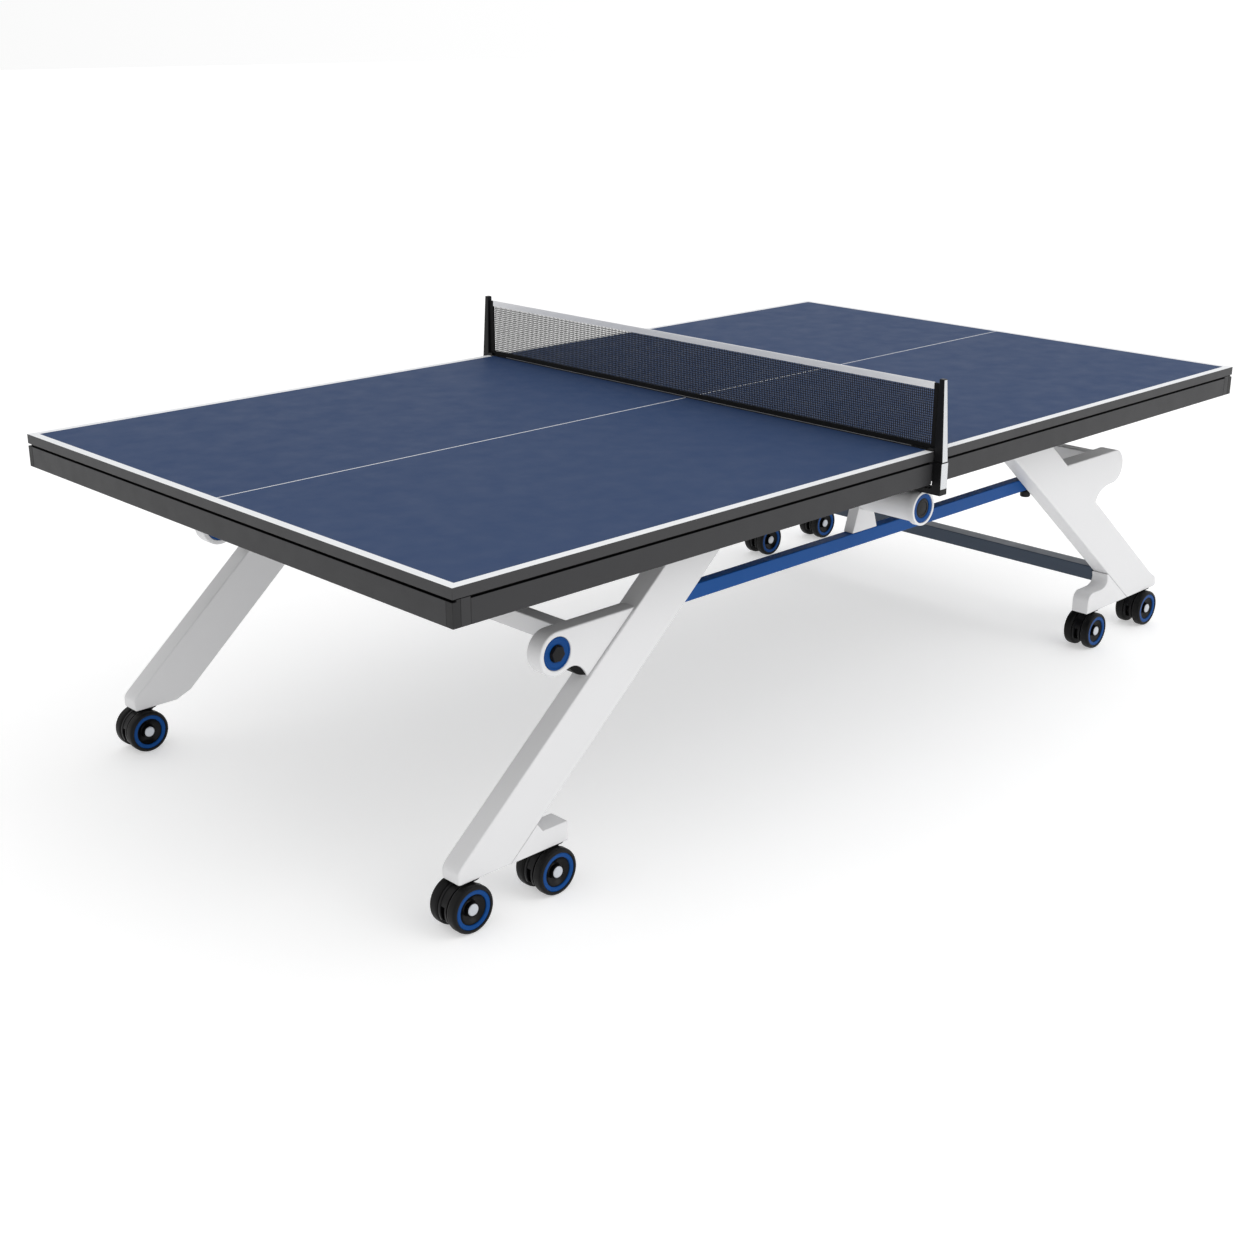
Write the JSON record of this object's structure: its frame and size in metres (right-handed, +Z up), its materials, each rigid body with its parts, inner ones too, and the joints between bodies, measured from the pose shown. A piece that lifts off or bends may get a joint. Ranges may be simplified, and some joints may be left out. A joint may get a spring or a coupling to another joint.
{
  "type": "ping pong table",
  "caption": "Folding table tennis table: hinged halves on slanted white legs with castors, long blue rails and a clamped net.",
  "frame": {"origin": "on the floor under the middle of the table, midway along and across", "axes": "+X along the table's length towards end B, +Y across its width towards the far side, +Z up"},
  "size_m": [2.74, 1.575, 0.9225],
  "materials": {
    "play_surface": "matt blue play lacquer on a wood board",
    "apron": "charcoal powder coat",
    "leg_white": "satin white powder coat",
    "rail_blue": "satin blue powder coat",
    "crossbar_slate": "satin slate grey powder coat",
    "blue_plastic": "moulded blue plastic",
    "black_plastic": "moulded black plastic",
    "black_steel": "black powder coat",
    "castor_wheel": "black tyre on a plastic wheel",
    "net_tape": "white woven tape",
    "net_mesh": "black knotted net",
    "net_cord": "black woven hem"
  },
  "bodies": {
    "undercarriage": {"centre_tube": "leg_white", "tube_ring_near": "blue_plastic", "tube_cap_near": "black_plastic", "tube_saddle_near": "leg_white", "hinge_saddle_near": "leg_white", "net_arm_near": "black_steel", "net_post_near": "black_steel", "leg_near_a": "leg_white", "leg_near_b": "leg_white", "knuckle_near_a": "leg_white", "foot_near_b": "leg_white", "knuckle_bush_near": "blue_plastic", "knuckle_bolt_near": "black_steel", "rail_near": "rail_blue", "tube_ring_far": "blue_plastic", "tube_cap_far": "black_plastic", "tube_saddle_far": "leg_white", "hinge_saddle_far": "leg_white", "net_arm_far": "black_steel", "net_post_far": "black_steel", "leg_far_a": "leg_white", "leg_far_b": "leg_white", "knuckle_far_a": "leg_white", "foot_far_b": "leg_white", "knuckle_bush_far": "blue_plastic", "knuckle_bolt_far": "black_steel", "rail_far": "rail_blue", "foot_near_a": "leg_white", "crossbar_upper_a": "leg_white", "crossbar_upper_b": "leg_white", "crossbar_lower_b": "crossbar_slate", "net_top_tape": "net_tape", "net": "net_mesh", "net_bottom_tape": "net_cord"},
    "half_a": {"table_top_a": "play_surface", "end_rail_a": "apron", "side_rail_near_a": "apron", "side_rail_far_a": "apron", "hinge_joist_a": "apron", "middle_joist_a": "apron"},
    "half_b": {"table_top_b": "play_surface", "end_rail_b": "apron", "side_rail_near_b": "apron", "side_rail_far_b": "apron", "hinge_joist_b": "apron", "middle_joist_b": "apron"},
    "castor_fork_near_a_outer": {"castor_fork_near_a_outer": "black_plastic"},
    "castor_wheels_near_a_outer": {"castor_wheels_near_a_outer": "castor_wheel"},
    "castor_fork_near_a_inner": {"castor_fork_near_a_inner": "black_plastic"},
    "castor_wheels_near_a_inner": {"castor_wheels_near_a_inner": "castor_wheel"},
    "castor_fork_far_a_outer": {"castor_fork_far_a_outer": "black_plastic"},
    "castor_wheels_far_a_outer": {"castor_wheels_far_a_outer": "castor_wheel"},
    "castor_fork_near_b_inner": {"castor_fork_near_b_inner": "black_plastic"},
    "castor_wheels_near_b_inner": {"castor_wheels_near_b_inner": "castor_wheel"},
    "castor_fork_near_b_outer": {"castor_fork_near_b_outer": "black_plastic"},
    "castor_wheels_near_b_outer": {"castor_wheels_near_b_outer": "castor_wheel"},
    "castor_fork_far_b_inner": {"castor_fork_far_b_inner": "black_plastic"},
    "castor_wheels_far_b_inner": {"castor_wheels_far_b_inner": "castor_wheel"},
    "castor_fork_far_b_outer": {"castor_fork_far_b_outer": "black_plastic"},
    "castor_wheels_far_b_outer": {"castor_wheels_far_b_outer": "castor_wheel"}
  },
  "joints": [
    {"name": "half_a_fold", "type": "hinge", "parent": "undercarriage", "child": "half_a", "pos_m": [-0.1, 0, 0.726], "axis": [0, 1, 0], "range_deg": [0, 90]},
    {"name": "half_b_fold", "type": "hinge", "parent": "undercarriage", "child": "half_b", "pos_m": [0.1, 0, 0.726], "axis": [0, -1, 0], "range_deg": [0, 90]},
    {"name": "castor_swivel_near_a_outer", "type": "hinge", "parent": "undercarriage", "child": "castor_fork_near_a_outer", "pos_m": [-1.226, -0.6, 0.1], "axis": [0, 0, 1], "continuous": true},
    {"name": "castor_roll_near_a_outer", "type": "hinge", "parent": "castor_fork_near_a_outer", "child": "castor_wheels_near_a_outer", "pos_m": [-1.244, -0.6, 0.05], "axis": [0, 1, 0], "continuous": true},
    {"name": "castor_swivel_near_a_inner", "type": "hinge", "parent": "undercarriage", "child": "castor_fork_near_a_inner", "pos_m": [-1.008, -0.6, 0.1], "axis": [0, 0, 1], "continuous": true},
    {"name": "castor_roll_near_a_inner", "type": "hinge", "parent": "castor_fork_near_a_inner", "child": "castor_wheels_near_a_inner", "pos_m": [-1.026, -0.6, 0.05], "axis": [0, 1, 0], "continuous": true},
    {"name": "castor_swivel_far_a_outer", "type": "hinge", "parent": "undercarriage", "child": "castor_fork_far_a_outer", "pos_m": [-1.226, 0.6, 0.1], "axis": [0, 0, 1], "continuous": true},
    {"name": "castor_roll_far_a_outer", "type": "hinge", "parent": "castor_fork_far_a_outer", "child": "castor_wheels_far_a_outer", "pos_m": [-1.244, 0.6, 0.05], "axis": [0, 1, 0], "continuous": true},
    {"name": "castor_swivel_near_b_inner", "type": "hinge", "parent": "undercarriage", "child": "castor_fork_near_b_inner", "pos_m": [1.008, -0.6, 0.1], "axis": [0, 0, 1], "continuous": true},
    {"name": "castor_roll_near_b_inner", "type": "hinge", "parent": "castor_fork_near_b_inner", "child": "castor_wheels_near_b_inner", "pos_m": [0.99, -0.6, 0.05], "axis": [0, 1, 0], "continuous": true},
    {"name": "castor_swivel_near_b_outer", "type": "hinge", "parent": "undercarriage", "child": "castor_fork_near_b_outer", "pos_m": [1.283, -0.6, 0.1], "axis": [0, 0, 1], "continuous": true},
    {"name": "castor_roll_near_b_outer", "type": "hinge", "parent": "castor_fork_near_b_outer", "child": "castor_wheels_near_b_outer", "pos_m": [1.265, -0.6, 0.05], "axis": [0, 1, 0], "continuous": true},
    {"name": "castor_swivel_far_b_inner", "type": "hinge", "parent": "undercarriage", "child": "castor_fork_far_b_inner", "pos_m": [1.008, 0.6, 0.1], "axis": [0, 0, 1], "continuous": true},
    {"name": "castor_roll_far_b_inner", "type": "hinge", "parent": "castor_fork_far_b_inner", "child": "castor_wheels_far_b_inner", "pos_m": [0.99, 0.6, 0.05], "axis": [0, 1, 0], "continuous": true},
    {"name": "castor_swivel_far_b_outer", "type": "hinge", "parent": "undercarriage", "child": "castor_fork_far_b_outer", "pos_m": [1.283, 0.6, 0.1], "axis": [0, 0, 1], "continuous": true},
    {"name": "castor_roll_far_b_outer", "type": "hinge", "parent": "castor_fork_far_b_outer", "child": "castor_wheels_far_b_outer", "pos_m": [1.265, 0.6, 0.05], "axis": [0, 1, 0], "continuous": true}
  ]
}
